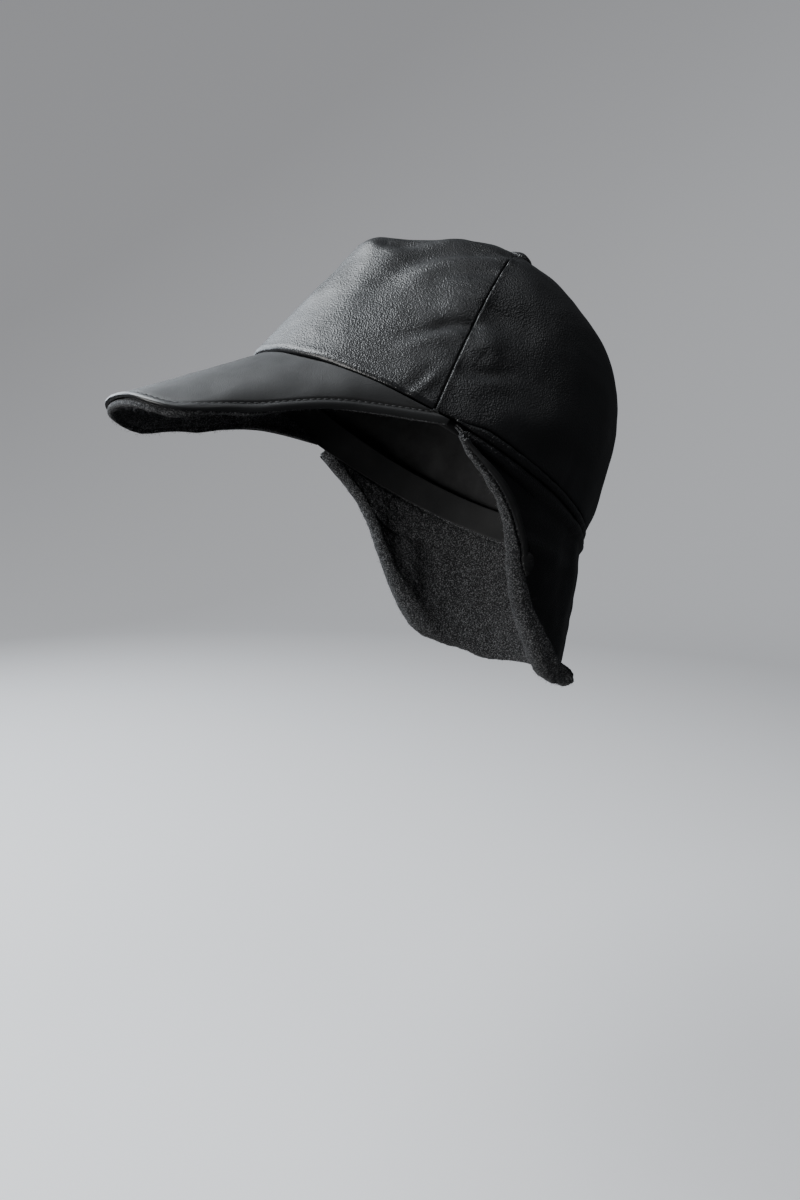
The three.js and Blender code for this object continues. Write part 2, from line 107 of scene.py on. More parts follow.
# Folds of the crown as paths of (angle, rise, width, depth); depth is inward
CREASES = [
    [
        (68, 0.72, 4, 1.0), (60, 0.62, 6, 2.4), (50, 0.555, 7, 3.4), (41, 0.5, 7, 3.6),
        (34, 0.41, 7, 3.0), (31, 0.32, 7, 2.0), (30, 0.22, 7, 0.8),
    ],
    [(63, 0.56, 5, -0.6), (52, 0.47, 5, -1.0), (43, 0.4, 6, -1.2), (38, 0.32, 7, -0.8)],
    [(62, 0.44, 4, 0.5), (54, 0.39, 4, 0.6), (47, 0.34, 5, 0.4)],
    [(49, 0.14, 4, 0.4), (55, 0.18, 3.2, 1.2), (59, 0.215, 3, 1.9), (66, 0.235, 3.5, 1.6)],
    [(52, 0.11, 4, -0.3), (57, 0.155, 4, -0.8), (63, 0.19, 4, -1.0)],
    [(57, 0.26, 5, -0.5), (65, 0.28, 5, -0.9)],
    [(66, 0.27, 7, 1.2), (73, 0.29, 8, 1.8), (80, 0.3, 9, 1.2)],
    [(69.5, 0.18, 6, -1.3), (73, 0.2, 6, -1.6), (75, 0.17, 5, -0.8)],
    [(68, 0.085, 4, -0.8), (73, 0.085, 4, -0.9), (79, 0.12, 4, -0.8), (86, 0.155, 5, -0.3)],
    [(69, 0.115, 3, 0.8), (74, 0.125, 3, 1.0), (80, 0.155, 3.5, 0.7), (86, 0.18, 5, 0.3)],
    [(74, 0.045, 7, -0.3), (90, 0.08, 9, -1.1), (102, 0.13, 10, -1.2), (118, 0.22, 12, -0.5)],
    [(96, 0.03, 7, 0.8), (108, 0.08, 8, 1.0), (120, 0.14, 9, 0.4)],
    [(61, 0.012, 2.2, -0.5), (62.6, 0.05, 2.4, -0.9), (64, 0.09, 3, -0.4)],
    [(58.5, 0.012, 2.4, 0.5), (60.4, 0.05, 2.6, 0.6), (62, 0.085, 3, 0.2)],
    [(112, 0.5, 9, -0.8), (122, 0.43, 10, -1.0)],
    [(113, 0.085, 3, 0.4), (111.5, 0.02, 3, 0.7)],
    [(3, 0.45, 7, -1.2), (9, 0.38, 8, -1.2)],
    [(16, 0.42, 5, 1.6), (21, 0.46, 6, 2.6), (26, 0.54, 7, 1.6)],
    [(-46, 0.6, 10, 1.2), (-36, 0.4, 9, 2.0), (-33, 0.25, 8, 0.8)],
    [(-52, 0.16, 4, 0.5), (-60, 0.22, 3.5, 1.5), (-66, 0.24, 4, 1.2)],
    [(-67, 0.27, 7, 1.0), (-76, 0.28, 8, 1.4), (-84, 0.31, 9, 0.8)],
    [(-70, 0.19, 7, -1.2), (-76, 0.18, 6, -1.0)],
    [(-70, 0.11, 4, 0.7), (-80, 0.14, 4, 0.8), (-88, 0.16, 5, 0.3)],
    [(-76, 0.05, 8, -0.5), (-96, 0.1, 10, -1.2), (-116, 0.2, 12, -0.6)],
    [(150, 0.06, 8, -0.6), (165, 0.1, 9, -1.0), (178, 0.12, 8, -0.5)],
    [(-150, 0.3, 10, 0.9), (-165, 0.22, 9, 1.1), (-178, 0.2, 7, 0.6)],
    [(140, 0.5, 11, 0.8), (160, 0.42, 10, 1.0), (176, 0.4, 8, 0.5)],
]
CREASE_STEPS = 6
RIPPLE_WAVES = 28

# Unevenness of each part as layers of (height, wavelength, seed)
WAVES = {
    "crown": [(0.2, 30, 3), (0.06, 11, 4)],
    "pucker": [(1, 8, 11), (0.5, 4.5, 12)],
    "calm": [(0.14, 38, 13)],
    "hem": [(0.03, 17, 21), (0.025, 6, 22)],
    "button": [(0.12, 7, 31)],
    "peak": [(0.16, 45, 41), (0.05, 14, 42)],
    "peak_felt": [(0.1, 5, 43), (0.1, 2.4, 44)],
    "drape": [(0.55, 24, 51)],
    "flap": [(0.12, 10, 52)],
    "flap_felt": [(0.1, 5, 53), (0.1, 2.4, 54)],
    "band": [(0.12, 19, 61)],
    "binding": [(0.08, 9, 71)],
    "tab": [(1, 5.5, 72)],
}


def smooth_step(x):
    return x * x * (3 - 2 * x)


def passage(value, start, end):
    """Smooth passage from 0 at the start to 1 at the end."""
    return smooth_step(np.clip((value - start) / (end - start), 0, 1))


def between(start, end, share):
    return start + (end - start) * share


def hump(away, reach):
    """Smooth hump that is 1 in its middle and fades over a reach."""
    return np.exp(-((away / reach) ** 2))


def unit(vectors):
    length = np.linalg.norm(vectors, axis=-1, keepdims=True)
    return vectors / np.maximum(length, 1e-9)


def curve(places, values, at):
    """Value at a place between the rows of a table, by a smooth curve."""
    places = np.asarray(places, float)
    values = np.asarray(values, float)
    last = len(places) - 1
    rows = np.arange(last + 1)
    before = np.maximum(rows - 1, 0)
    after = np.minimum(rows + 1, last)
    slope = (values[after] - values[before]) / (places[after] - places[before])
    i = np.clip(np.searchsorted(places, at, side="left") - 1, 0, last - 1)
    span = places[i + 1] - places[i]
    t = (at - places[i]) / span
    rise = smooth_step(t)
    lead = span * t * (1 - t) * ((1 - t) * slope[i] - t * slope[i + 1])
    return values[i] * (1 - rise) + values[i + 1] * rise + lead


def row_at(table, key, at):
    """A row of a table at a place along the table's first row."""
    return curve(next(iter(table.values())), table[key], at)


def line_at(table, at):
    return np.stack([row_at(table, key, at) for key in "xyz"], axis=-1)


def both_sides(table):
    """The table's rows mirrored to the wearer's right, then as they are."""
    full = {}
    for key, values in table.items():
        values = np.asarray(values, float)
        sign = -1 if key in ("u", "x") else 1
        full[key] = np.concatenate([sign * values[:0:-1], values])
    return full


def all_round(table):
    """The girth's rows carried past both ends, so that its slopes close."""
    full = {}
    for key, values in table.items():
        values = np.asarray(values, float)
        before = -values[1] if key == "angle" else values[1]
        after = 360 - values[-2] if key == "angle" else values[-2]
        full[key] = np.concatenate([[before], values, [after]])
    return full


GIRTH_ROUND = all_round(GIRTH)
PEAK_ROUND = both_sides(PEAK_EDGE)
FLAP_ROUND = both_sides(FLAP_EDGE)


def ripple(points, wavelength, seed):
    """Smooth random field of about unit strength, with one wavelength."""
    source = np.random.default_rng(seed)
    field = np.zeros(points.shape[:-1])
    for _ in range(RIPPLE_WAVES):
        direction = source.normal(size=3)
        direction /= np.linalg.norm(direction)
        pitch = wavelength * source.uniform(0.75, 1.4)
        field += np.sin(points @ direction * (2 * math.pi / pitch) + source.uniform(0, 2 * math.pi))
    return field * math.sqrt(2 / RIPPLE_WAVES)


def uneven(points, part):
    """Unevenness of a part at each point, from all its layers."""
    return sum(height * ripple(points, wavelength, seed) for height, wavelength, seed in WAVES[part])


def worn(points):
    """Points of the tipped cap in the frame of the standing head."""
    c, s = math.cos(TILT), math.sin(TILT)
    x, y, z = points[..., 0], points[..., 1], points[..., 2]
    return np.stack([x, y * c + z * s, -y * s + z * c], axis=-1)


def plain_crown(angle, rise):
    """Crown without folds, in the cap's frame."""
    folded = np.abs((angle + 180) % 360 - 180)
    full = row_at(GIRTH_ROUND, "full", folded)
    bag = row_at(GIRTH_ROUND, "bag", folded)
    dip = row_at(GIRTH_ROUND, "dip", folded)
    lift = rise * math.pi / 2
    reach = np.maximum(np.cos(lift), 0) ** (2 / full)
    sink = dip * np.sin(math.pi * np.clip(reach / DIP_REACH, 0, 1))
    height = np.maximum(np.sin(lift), 0) ** (2 / full) * CROWN_HEIGHT - sink
    out = bag * np.sin(math.pi * np.clip(height / BAG_TOP, 0, 1))
    turn = np.radians(angle)
    x = (HALF_WIDTH * reach + out) * np.sin(turn)
    y = -(HALF_LENGTH * reach + out) * np.cos(turn)
    return np.stack([x, y, height], axis=-1)


def to_segment(points, start, end):
    """Nearest place on a straight piece of line, as a share of it, and the distance to it."""
    step = end - start
    share = np.clip((points - start) @ step / (step @ step), 0, 1)
    return share, np.linalg.norm(points - start - share[..., None] * step, axis=-1)


def crease_depth(points):
    """How far the folds push the crown inward at each point."""
    depth = np.zeros(points.shape[:-1])
    for rows in CREASES:
        rows = np.asarray(rows, float)
        marks = np.arange(len(rows))
        fine = np.linspace(0, len(rows) - 1, CREASE_STEPS * (len(rows) - 1) + 1)
        angle, rise, width, deep = (curve(marks, rows[:, k], fine) for k in range(4))
        path = plain_crown(angle, rise)
        best = np.full(points.shape[:-1], 1e9)
        push = np.zeros(points.shape[:-1])
        for k in range(len(path) - 1):
            t, away = to_segment(points, path[k], path[k + 1])
            local = between(deep[k], deep[k + 1], t) * hump(away, between(width[k], width[k + 1], t))
            nearer = away < best
            best = np.where(nearer, away, best)
            push = np.where(nearer, local, push)
        depth += push
    return depth


def grid_normals(points):
    """Unit normals of a grid of points, first direction cross second."""
    first = np.gradient(points, axis=0)
    second = np.gradient(points, axis=1)
    return unit(np.cross(first, second))


def lengths_along(points, axis):
    """Length from the grid's first edge to each point, along one direction."""
    steps = np.linalg.norm(np.diff(points, axis=axis), axis=-1)
    total = np.cumsum(steps, axis=axis)
    pad = [(0, 0), (0, 0)]
    pad[axis] = (1, 0)
    return np.pad(total, pad)


def edge_distance(points, axis):
    """Distance of each grid point from the nearer of two opposite edges."""
    along = lengths_along(points, axis)
    whole = np.take(along, [-1], axis=axis)
    return np.minimum(along, whole - along)


def eased(count, edge_share=0.02, edge_lines=4):
    """Places from 0 to 1 with more lines close to both ends."""
    near = edge_share * (np.arange(edge_lines) / edge_lines) ** 1.6
    middle = np.linspace(edge_share, 1 - edge_share, count)
    return np.concatenate([near, middle, 1 - near[::-1]])


def ring_turns(sides):
    return np.linspace(0, 2 * math.pi, sides, endpoint=False)


def side_faces(index):
    """Four-cornered faces between the rings of a rod, from the numbers of its points."""
    beside = np.roll(index, -1, axis=-1)
    corners = [index[..., :-1, :], beside[..., :-1, :], beside[..., 1:, :], index[..., 1:, :]]
    return np.stack(corners, axis=-1).reshape(-1, 4).tolist()


def rod_faces(rings, sides):
    """Faces of a closed rod: its sides and both ends."""
    index = np.arange(rings * sides).reshape(rings, sides)
    return side_faces(index) + [index[0][::-1].tolist(), index[-1].tolist()]


def to_object(name, vertices, faces, materials, face_material=None):
    mesh = bpy.data.meshes.new(name)
    mesh.from_pydata((vertices * MM).tolist(), [], faces)
    mesh.validate()
    for material in materials:
        mesh.materials.append(material)
    mesh.polygons.foreach_set("use_smooth", [True] * len(mesh.polygons))
    if face_material is not None:
        mesh.polygons.foreach_set("material_index", face_material)
    mesh.update()
    piece = bpy.data.objects.new(name, mesh)
    bpy.context.scene.collection.objects.link(piece)
    return piece


def add_mark(piece, mark, values):
    """Values by name for each point of a piece, which its material reads."""
    attribute = piece.data.attributes.new(mark, "FLOAT", "POINT")
    attribute.data.foreach_set("value", values.tolist())


def wall(name, points, low, high, materials, marks=None, round_under=True):
    """Closed wall over a grid between two offsets, with edges rounded above and, if asked, under.

    The marks are values by name for each grid point, which materials read.
    """
    normals = grid_normals(points)
    middle = (low + high) / 2
    half = (high - low) / 2
    inset = np.minimum(edge_distance(points, 0), edge_distance(points, 1))
    share = np.clip(inset / half, 0, 1)
    round_half = half * np.maximum(np.sqrt(1 - (1 - share) ** 2), 0.03)
    under_half = round_half if round_under else half + 0 * round_half
    top = points + normals * (middle + round_half)[..., None]
    under = points + normals * (middle - under_half)[..., None]
    rows, columns = points.shape[:2]
    vertices = np.concatenate([top.reshape(-1, 3), under.reshape(-1, 3)])
    index = np.arange(rows * columns).reshape(rows, columns)
    a, b, c, d = index[:-1, :-1], index[1:, :-1], index[1:, 1:], index[:-1, 1:]
    upper = np.stack([a, b, c, d], axis=-1).reshape(-1, 4)
    lower = upper[:, ::-1] + rows * columns
    rim = np.concatenate([index[:, 0], index[-1, 1:], index[-2::-1, -1], index[0, -2:0:-1]])
    after = np.roll(rim, -1)
    side = np.stack([rim, rim + rows * columns, after + rows * columns, after], axis=-1)
    faces = np.concatenate([upper, lower, side])
    inner = np.zeros(len(faces), int)
    inner[len(upper) : 2 * len(upper)] = len(materials) - 1
    piece = to_object(name, vertices, faces.tolist(), materials, inner)
    for mark, values in (marks or {}).items():
        add_mark(piece, mark, np.tile(values.ravel(), 2))
    return piece


def tube(name, path, radii, materials, sides):
    """Closed tube along a path, with a radius for each of its points."""
    tangent = unit(np.gradient(path, axis=0))
    guide = np.tile(np.array([0.0, 0.0, 1.0]), (len(path), 1))
    across = unit(np.cross(tangent, guide))
    over = np.cross(across, tangent)
    turn = ring_turns(sides)
    ring = np.cos(turn)[None, :, None] * across[:, None] + np.sin(turn)[None, :, None] * over[:, None]
    vertices = (path[:, None] + ring * radii[:, None, None]).reshape(-1, 3)
    return to_object(name, vertices, rod_faces(len(path), sides), materials)


# Crown panels
def rise_at(angle, height):
    """Rise at which the crown is a given height above the rim's plane."""
    full = row_at(GIRTH_ROUND, "full", np.abs(angle))
    return 2 / math.pi * np.arcsin((height / CROWN_HEIGHT) ** (full / 2))


TOP_RISE = 1 - 2 / math.pi * math.asin((APEX_RADIUS / HALF_WIDTH) ** 1.1)
SEAM_SLIT = 0.02
SEAM_ROLL = 0.8
SEAM_SWELL_REACH = 2.2
FRONT_EDGE = {"drop": 0.1, "swell": -0.2}
REAR_EDGE = {"drop": 0.4, "swell": 0.45}
SEAM_POLISH = {"reach": 1.1, "share": 0.7}
PUCKER = 0.34
PUCKER_REACH = 7.0
GRAIN_REACH = 62.0
FRONT_QUIET = 0.55
REAR_QUIET = 0.65
FOOT_CALM = 0.8
FRONT_LINES = 240
REAR_LINES = 190
RISE_LINES = 150
PANEL_FOOT = 0.002
LEAST_REACH = 0.03
LOW_ROLL = 2.6
LOW_DROP = 2.1
LOW_LEAST = 0.6
LOW_POLISH = 2.4
REAR_FOOT = {"sunk": 0.3, "reach": 2.2, "drop": 0.6}
HEM_TAPER = 10.0
HEM_LEAST = 0.15
TUCK_FULL = 38.0
TUCK_END = 66.0


def tuck_share(angle):
    """How far the front's padded foot and the peak's root are tucked in."""
    return 1 - passage(np.abs(angle), TUCK_FULL, TUCK_END)


def hem_radius(angle):
    return HEM_RADIUS * between(HEM_LEAST, 1, passage(np.abs(angle), HEM_START, HEM_START + HEM_TAPER))


def hem_share(angle):
    """How far the hem has taken over from the peak under the rear panels."""
    return passage(np.abs(angle), SEAM_ANGLE, HEM_START)


def above_peak(angle):
    return angle * 0


def above_hem(angle):
    return (2 * hem_radius(angle) - REAR_FOOT["sunk"]) * hem_share(angle)


def side_seam(rise):
    return SEAM_ANGLE + SEAM_BOW * np.sin(math.pi * rise)


def crown_panel(left_seam, right_seam, bottom, puff, shares, rises):
    """Points of a panel between two seams, and the relief of its folds."""
    share, rise = np.meshgrid(shares, rises, indexing="ij")
    foot_angle = between(left_seam(0), right_seam(0), share)
    level = between(rise_at(foot_angle, bottom(foot_angle)), TOP_RISE, rise)
    radius = HALF_WIDTH * np.maximum(np.cos(level * math.pi / 2), LEAST_REACH)
    slit = np.degrees(SEAM_SLIT / 2 / radius)
    points = plain_crown(between(left_seam(level) + slit, right_seam(level) - slit, share), level)
    flat = unit(points * LEVEL)
    swell = np.sin(math.pi * np.clip((points[..., 2] + PUFF_FOOT) / PUFF_HEIGHT, 0, 1))
    relief = uneven(points, "crown") - crease_depth(points)
    points = points + flat * (puff * swell)[..., None]
    return points, relief


def seam_relief(points, edge):
    """Edges that roll into the seam and pucker beside it."""
    across = lengths_along(points, 0)
    whole = across[-1:]
    relief = np.zeros(points.shape[:2])
    for away, seam_points in ((across, points[:1]), (whole - across, points[-1:])):
        roll = np.clip(1 - away / SEAM_ROLL, 0, 1)
        relief += edge["swell"] * hump(away, SEAM_SWELL_REACH) - edge["drop"] * roll**2
        relief += PUCKER * uneven(seam_points, "pucker") * np.exp(-away / PUCKER_REACH)
    return relief


def build_panel(name, node, seams, bottom, puff, lines, rolled_foot, edge, quiet):
    """Leather panel between two seams; quiet is how far its grain is smoothed."""
    shares = eased(lines, 0.012, 5)
    rises = between(PANEL_FOOT, 1 - PANEL_FOOT, eased(RISE_LINES, 0.02, 5))
    points, relief = crown_panel(*seams, bottom, puff, shares, rises)
    relief += seam_relief(points, edge)
    to_seam = edge_distance(points, 0)
    up = lengths_along(points, 1)
    calm = quiet * (1 - hump(to_seam, GRAIN_REACH)) + uneven(points, "calm")
    low = np.clip(1 - up / LOW_ROLL, 0, 1)
    angle = np.degrees(np.arctan2(points[..., 0] / HALF_WIDTH, -points[..., 1] / HALF_LENGTH))
    if rolled_foot:
        points[..., 2] += FRONT_BOTTOM * low
        relief -= between(LOW_LEAST, LOW_DROP, tuck_share(angle)) * low**2
        polish = hump(up, LOW_POLISH)
    else:
        behind = hem_share(angle)
        points[..., 2] += FRONT_BOTTOM * low * (1 - behind)
        relief -= REAR_FOOT["drop"] * behind * np.clip(1 - up / REAR_FOOT["reach"], 0, 1) ** 2
        polish = SEAM_POLISH["share"] * hump(to_seam, SEAM_POLISH["reach"])
    marks = {"polish": polish, "calm": np.clip(np.maximum(calm, FOOT_CALM * polish), 0, 1)}
    points = points + grid_normals(points) * relief[..., None]
    piece = wall(name, worn(points), -LEATHER, 0, [NAPPA, REVERSE], marks, round_under=False)
    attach(piece, "root")
    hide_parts(node)


def right_seam(rise):
    return -side_seam(rise)


def back_seam(rise):
    return rise * 0 + 180


def right_back_seam(rise):
    return rise * 0 - 180


def build_panels():
    build_panel(
        "front_leather", "front_panel", (right_seam, side_seam), above_peak,
        puff=FRONT_PUFF, lines=FRONT_LINES, rolled_foot=True, edge=FRONT_EDGE, quiet=FRONT_QUIET,
    )
    rears = (
        ("left_rear_leather", "left_rear_panel", (side_seam, back_seam)),
        ("right_rear_leather", "right_rear_panel", (right_back_seam, right_seam)),
    )
    for name, node, seams in rears:
        build_panel(
            name, node, seams, above_hem,
            puff=0, lines=REAR_LINES, rolled_foot=False, edge=REAR_EDGE, quiet=REAR_QUIET,
        )


TAPE = {"half_width": 4.0, "thick": 0.8, "clearance": 0.1, "foot": 0.02, "top": 0.94, "least_reach": 0.06}
TAPE_SEAMS = {"left_seam_tape": side_seam, "right_seam_tape": right_seam, "back_seam_tape": back_seam}


def tape_edge(seam, side):
    """Line half a tape's width to one side of a seam."""

    def line(rise):
        reach = np.maximum(np.cos(rise * math.pi / 2), TAPE["least_reach"])
        return seam(rise) + side * np.degrees(TAPE["half_width"] / HALF_WIDTH / reach)

    return line


def build_seam_tapes():
    """Leather strips inside the crown that cover its three seams."""
    for name, seam in TAPE_SEAMS.items():
        rises = between(TAPE["foot"], TAPE["top"], eased(70, 0.01, 4))
        shares = eased(12, 0.06, 4)
        points, relief = crown_panel(tape_edge(seam, -1), tape_edge(seam, 1), above_hem, 0, shares, rises)
        points = points + grid_normals(points) * relief[..., None]
        high = -LEATHER - TAPE["clearance"]
        piece = wall(name, worn(points), high - TAPE["thick"], high, [REVERSE])
        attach(piece, "root")


# Rim, hem and button
def rim(angle, outward, up):
    turn = np.radians(angle)
    x = (HALF_WIDTH + outward) * np.sin(turn)
    y = -(HALF_LENGTH + outward) * np.cos(turn)
    return np.stack([x, y, np.broadcast_to(up, x.shape)], axis=-1)


HEM_SIDES = 20
HEM_LINES = 420
HEM_UNEVEN_LIMIT = 0.1
HEM_POLISH = 0.6


def build_hem():
    """Rolled edge under the rear panels, slightly uneven and tapered at its ends."""
    angles = np.linspace(HEM_START, 360 - HEM_START, HEM_LINES)
    radii = hem_radius(np.minimum(angles, 360 - angles))
    path = rim(angles, HEM_RADIUS - HEM_INSET - radii, radii)
    along = lengths_along(path[:, None], 0)[:, 0]
    place = np.stack([along, along * 0, along * 0], axis=-1)
    radii = np.minimum(radii * (1 + uneven(place, "hem")), radii + HEM_UNEVEN_LIMIT)
    piece = tube("rear_hem_roll", worn(path), radii, [NAPPA], sides=HEM_SIDES)
    add_mark(piece, "polish", np.full(len(path) * HEM_SIDES, HEM_POLISH))
    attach(piece, "root")
    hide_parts("rear_hem")


BAND_OUTSIDE = {"front": -4.4, "behind": -6.0, "from": 72.0, "to": 84.0}
BAND_FOOT = {"front": -2.2, "behind": -3.6, "from": 62.0, "to": 71.0}
BAND_THICK = 1.0
BAND_TOP = 14.0
BAND_LEAN = 0.05
BAND_HEIGHTS = (0, 0.01, 0.02, 0.04, 0.08, 0.5, 0.92, 0.96, 0.98, 0.99, 1.0)


def band_value(row, angle):
    """A value of the band, which passes from the front's to that behind."""
    return between(row["front"], row["behind"], passage(angle, row["from"], row["to"]))


def build_band():
    """Leather band that covers the seams inside the head opening."""
    angles = np.linspace(-180, 180, 361)
    a, h = np.meshgrid(angles, BAND_HEIGHTS, indexing="ij")
    foot = band_value(BAND_FOOT, np.abs(a))
    outside = band_value(BAND_OUTSIDE, np.abs(a))
    up = between(foot, BAND_TOP, h)
    bag = row_at(GIRTH_ROUND, "bag", np.abs(a))
    above = np.maximum(up, 0)
    lean = np.minimum(bag, 0) * np.sin(math.pi * above / BAG_TOP) - BAND_LEAN * above
    points = rim(a, outside - BAND_THICK / 2 + lean, up)
    points += uneven(points, "band")[..., None] * unit(points * LEVEL)
    points[-1] = points[0]
    piece = ring_wall("sweat_band", worn(points), BAND_THICK, [SMOOTH])
    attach(piece, "root")
    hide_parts("inner_band")


def ring_wall(name, points, thickness, materials):
    """Closed wall round a full turn, with rounded edges."""
    points = points[:-1]
    padded_points = np.concatenate([points[-1:], points, points[:1]])
    normals = grid_normals(padded_points)[1:-1]
    half = thickness / 2
    inset = edge_distance(points, 1)
    share = np.clip(inset / half, 0, 1)
    round_half = half * np.maximum(np.sqrt(1 - (1 - share) ** 2), 0.1)
    outer = points + normals * round_half[..., None]
    inner = points - normals * round_half[..., None]
    loop = np.concatenate([outer, inner[:, ::-1]], axis=1)
    rows, columns = loop.shape[:2]
    index = np.arange(rows * columns).reshape(rows, columns)
    beside = np.roll(index, -1, axis=1)
    onward = np.roll(index, -1, axis=0)
    corner = np.roll(onward, -1, axis=1)
    faces = np.stack([index, onward, corner, beside], axis=-1).reshape(-1, 4)
    return to_object(name, loop.reshape(-1, 3), faces.tolist(), materials)


BUTTON_OUTLINE = {
    "radius": (0, 0.86, 0.985, 1.0, 0.95, 0.8, 0.55, 0.28, 0),
    "height": (0.03, 0, 0.08, 0.26, 0.52, 0.76, 0.92, 0.985, 1),
}
BUTTON_PLEAT = {"count": 13, "deep": 0.2, "drift": 0.7, "reach": 0.5}
BUTTON_SIDES = 104
BUTTON_RINGS = 49


def build_button():
    """Covered dome whose leather is gathered under its edge."""
    rows = np.arange(len(BUTTON_OUTLINE["radius"]))
    fine = np.linspace(0, rows[-1], BUTTON_RINGS)
    radius = curve(rows, BUTTON_OUTLINE["radius"], fine) * BUTTON_RADIUS
    height = curve(rows, BUTTON_OUTLINE["height"], fine) * BUTTON_HEIGHT
    turn = ring_turns(BUTTON_SIDES)
    pleat = np.cos(BUTTON_PLEAT["count"] * turn + BUTTON_PLEAT["drift"] * np.sin(3 * turn))
    low = np.clip(1 - height / (BUTTON_PLEAT["reach"] * BUTTON_HEIGHT), 0, 1)
    reach = radius[:, None] - BUTTON_PLEAT["deep"] * low[:, None] * (1 - pleat[None])
    reach = np.maximum(reach, 0)
    x = reach * np.cos(turn)
    y = reach * np.sin(turn)
    z = np.broadcast_to(height[:, None] + BUTTON_SEAT, x.shape)
    rings = np.stack([x, y, z], axis=-1)[1:-1]
    rings[..., 2] += uneven(rings, "button")
    poles = np.array([[0, 0, BUTTON_SEAT], [0, 0, BUTTON_SEAT + BUTTON_HEIGHT]])
    vertices = np.concatenate([rings.reshape(-1, 3), poles])
    index = np.arange(len(rings) * BUTTON_SIDES).reshape(len(rings), BUTTON_SIDES)
    faces = side_faces(index)
    bottom = index.size
    top = bottom + 1
    for k in range(BUTTON_SIDES):
        after = (k + 1) % BUTTON_SIDES
        faces.append([bottom, int(index[0, after]), int(index[0, k])])
        faces.append([top, int(index[-1, k]), int(index[-1, after])])
    piece = to_object("button_cover", worn(vertices), faces, [NAPPA])
    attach(piece, "root")
    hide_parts("crown_button")


# Peak
FIBRE = {"lift": 0.9, "length": (0.9, 2.4), "curl": 0.9, "rooted": 0.15, "radius": 0.045, "rings": 4}
FIBRE_SCATTER = 0.3
FIBRE_TAPER = 0.7
PEAK_FIBRES = 5000
PEAK_FIBRE_REACH = 9.0
FLAP_FIBRES = 6500
STITCH_INSET = 4.2
STITCH_PITCH = 2.9
STITCH_LENGTH = 2.0
STITCH_RADIUS = 0.34
EDGE_SWELL = 0.5
STITCH_GROOVE = 0.45
EDGE_POLISH = 2.6
PEAK_FELT = 3.0
PEAK_INSET = 0.4
PEAK_TUCK = 3.4
TUCK_ROWS = 4
PEAK_LINES = {"across": 330, "out": 76}
GROOVE_REACH = 0.7
DIMPLE = {"deep": 0.5, "reach": 1.2}
EDGE_CALM = 0.75
FELT_FOLLOWS = 0.3
FIBRE_END_TAPER = 6.0
PEAK_END_SHARE = 0.3
PEAK_END_TAPER = 16.0


def peak_points(u, reach):
    """Peak from its root (reach 0) to its edge (1); below 0 it is tucked inside."""
    tuck = PEAK_TUCK * np.maximum(-reach, 0) * tuck_share(PEAK_END_ANGLE * u)
    reach = np.maximum(reach, 0)
    root = worn(rim(PEAK_END_ANGLE * u, -PEAK_INSET - tuck, FRONT_BOTTOM - GAP))
    points = between(root, line_at(PEAK_ROUND, u), reach[..., None])
    points[..., 2] -= PEAK_SAG * np.sin(math.pi * reach) * np.cos(u * math.pi / 2)
    return points


def to_line(points, line):
    """Distance from each point to a line given by its points."""
    best = np.full(points.shape[:-1], 1e9)
    for k in range(len(line) - 1):
        best = np.minimum(best, to_segment(points, line[k], line[k + 1])[1])
    return best


def peak_surface():
    """Grid of the peak's top, and how far each of its points is from the outer edge."""
    across = eased(PEAK_LINES["across"], 0.006, 5) * 2 - 1
    tucked = np.linspace(-1, 0, TUCK_ROWS + 1)[:-1]
    reach = np.concatenate([tucked, eased(PEAK_LINES["out"], 0.03, 6)])
    u, r = np.meshgrid(across, reach, indexing="ij")
    points = peak_points(u, r)
    away = to_line(points, points[:, -1])
    return points, away


def build_peak():
    points, away = peak_surface()
    normals = grid_normals(points)
    groove = STITCH_GROOVE * hump(away - STITCH_INSET, GROOVE_REACH)
    share = np.clip(away / STITCH_INSET, 0, 1)
    swell = EDGE_SWELL * np.sin(math.pi * share)
    soft = uneven(points, "peak")
    top = points - normals * (swell - groove + soft)[..., None]
    thin = between(PEAK_END_SHARE, 1, passage(edge_distance(points, 0), 0, PEAK_END_TAPER))
    polish = hump(away, EDGE_POLISH)
    marks = {"polish": polish, "calm": EDGE_CALM * polish}
    leather = wall("peak_leather", top, 0, LEATHER * thin, [SMOOTH], marks)
    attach(leather, "root")
    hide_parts("peak_upper")

    felt_points = points[:, TUCK_ROWS:]
    felt_away = away[:, TUCK_ROWS:]
    felt_thin = thin[:, TUCK_ROWS:]
    normals = grid_normals(felt_points)
    dimple = DIMPLE["deep"] * hump(felt_away - STITCH_INSET, DIMPLE["reach"])
    lift = LEATHER * felt_thin + GAP + FELT_FOLLOWS * soft[:, TUCK_ROWS:]
    under = felt_points + normals * lift[..., None]
    deep = (PEAK_FELT + uneven(felt_points, "peak_felt") - dimple) * felt_thin
    felt = wall("peak_felt", under, 0, deep, [FELT])
    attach(felt, "root")
    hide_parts("peak_lining")
    skin = under + normals * deep[..., None]
    near_end = passage(edge_distance(felt_points, 0), 0, FIBRE_END_TAPER)
    near_edge = np.exp(-felt_away / PEAK_FIBRE_REACH) * near_end
    build_fibres("peak_fibres", skin, normals, near_edge, PEAK_FIBRES, seed=81)
    build_stitches(top, away)


